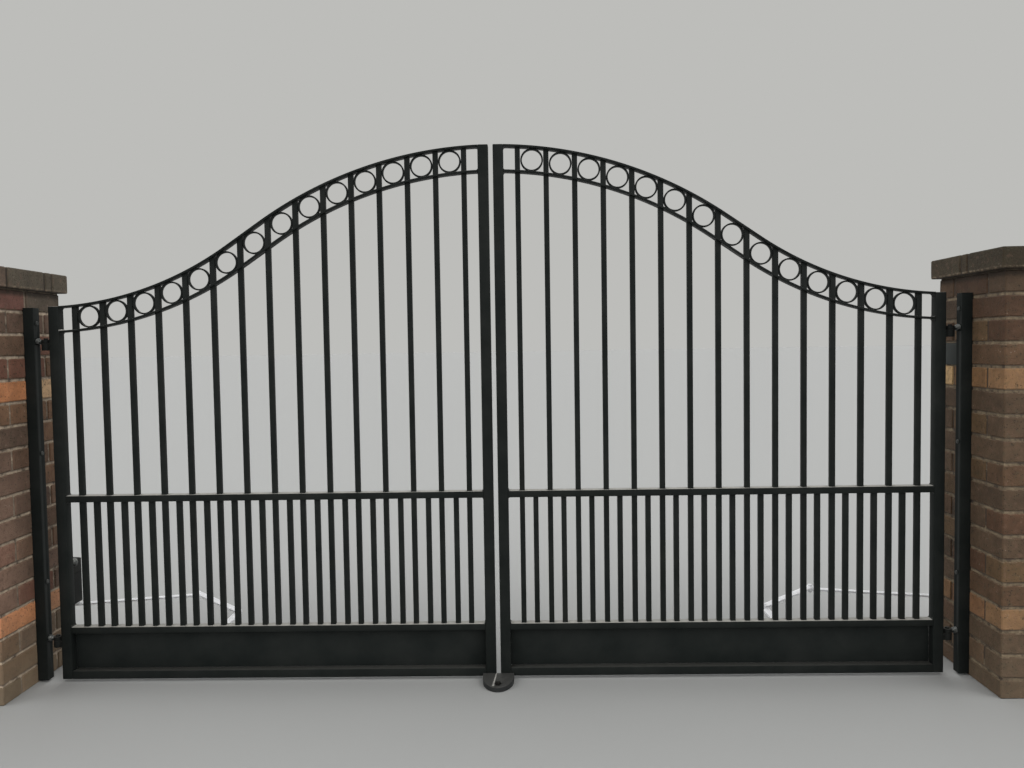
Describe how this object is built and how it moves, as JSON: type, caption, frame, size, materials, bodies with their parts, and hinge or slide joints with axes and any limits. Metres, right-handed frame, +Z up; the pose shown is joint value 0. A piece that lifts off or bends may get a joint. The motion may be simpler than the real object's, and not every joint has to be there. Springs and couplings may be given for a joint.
{
  "type": "double leaf driveway gate",
  "caption": "Double leaf driveway gate of black welded bars with a curved head and a row of rings, hung between square brick piers, with a folding arm opener behind each leaf.",
  "frame": {"origin": "middle of the left pier's underside, on the ground", "axes": "+X along the gate from the left pier to the right pier, +Y into the drive, the way both leaves open, +Z up"},
  "size_m": [4.642, 0.738, 2.073],
  "materials": {
    "brickwork": "matte",
    "cap_brick": "matte",
    "black_paint": "satin",
    "zinc_plate": "satin",
    "housing_black": "satin",
    "white_paint": "satin"
  },
  "bodies": {
    "piers": {"left_pier": "brickwork", "right_pier": "brickwork", "left_pier_cap": "cap_brick", "right_pier_cap": "cap_brick", "left_post": "black_paint", "right_post": "black_paint", "eye_bolts": "black_paint", "hinge_nuts": "zinc_plate", "post_fixings": "zinc_plate", "floor_stop": "black_paint", "stop_bolt": "zinc_plate", "opener_housings": "housing_black", "opener_plates": "black_paint"},
    "left_leaf": {"left_hinge_stile": "black_paint", "left_meeting_stile": "black_paint", "left_top_rail": "black_paint", "left_ring_rail": "black_paint", "left_mid_rail": "black_paint", "left_panel_rail": "black_paint", "left_bottom_rail": "black_paint", "left_kick_panel": "black_paint", "left_bars": "black_paint", "left_short_bars": "black_paint", "left_rings": "black_paint", "left_hinge_pins": "black_paint", "left_arm_bracket": "white_paint"},
    "left_drive_lever": {"left_drive_arm": "white_paint"},
    "left_link_lever": {"left_link_arm": "white_paint"},
    "right_leaf": {"right_hinge_stile": "black_paint", "right_meeting_stile": "black_paint", "right_top_rail": "black_paint", "right_ring_rail": "black_paint", "right_mid_rail": "black_paint", "right_panel_rail": "black_paint", "right_bottom_rail": "black_paint", "right_kick_panel": "black_paint", "right_bars": "black_paint", "right_short_bars": "black_paint", "right_rings": "black_paint", "right_hinge_pins": "black_paint", "right_arm_bracket": "white_paint"},
    "right_drive_lever": {"right_drive_arm": "white_paint"},
    "right_link_lever": {"right_link_arm": "white_paint"}
  },
  "joints": [
    {"name": "left_leaf_hinge", "type": "hinge", "parent": "piers", "child": "left_leaf", "pos_m": [0.3105, 0, 0.75], "axis": [0, 0, 1], "range_deg": [0, 90]},
    {"name": "left_drive_shaft", "type": "hinge", "parent": "piers", "child": "left_drive_lever", "pos_m": [0.1405, 0.33, 0.201], "axis": [0, 0, 1], "range_deg": [0, 123]},
    {"name": "left_link_pin", "type": "hinge", "parent": "left_leaf", "child": "left_link_lever", "pos_m": [0.9605, 0.2, 0.21], "axis": [0, 0, 1], "range_deg": [-57, 0]},
    {"name": "right_leaf_hinge", "type": "hinge", "parent": "piers", "child": "right_leaf", "pos_m": [3.8105, 0, 0.75], "axis": [0, 0, -1], "range_deg": [0, 90]},
    {"name": "right_drive_shaft", "type": "hinge", "parent": "piers", "child": "right_drive_lever", "pos_m": [3.9805, 0.33, 0.201], "axis": [0, 0, -1], "range_deg": [0, 123]},
    {"name": "right_link_pin", "type": "hinge", "parent": "right_leaf", "child": "right_link_lever", "pos_m": [3.1605, 0.2, 0.21], "axis": [0, 0, -1], "range_deg": [-57, 0]}
  ],
  "couplings": [
    {"joint": "left_drive_shaft", "follows": "left_leaf_hinge", "ratio": 1.3619},
    {"joint": "left_link_pin", "follows": "left_leaf_hinge", "ratio": -0.63113},
    {"joint": "right_drive_shaft", "follows": "right_leaf_hinge", "ratio": 1.3619},
    {"joint": "right_link_pin", "follows": "right_leaf_hinge", "ratio": -0.63113}
  ]
}
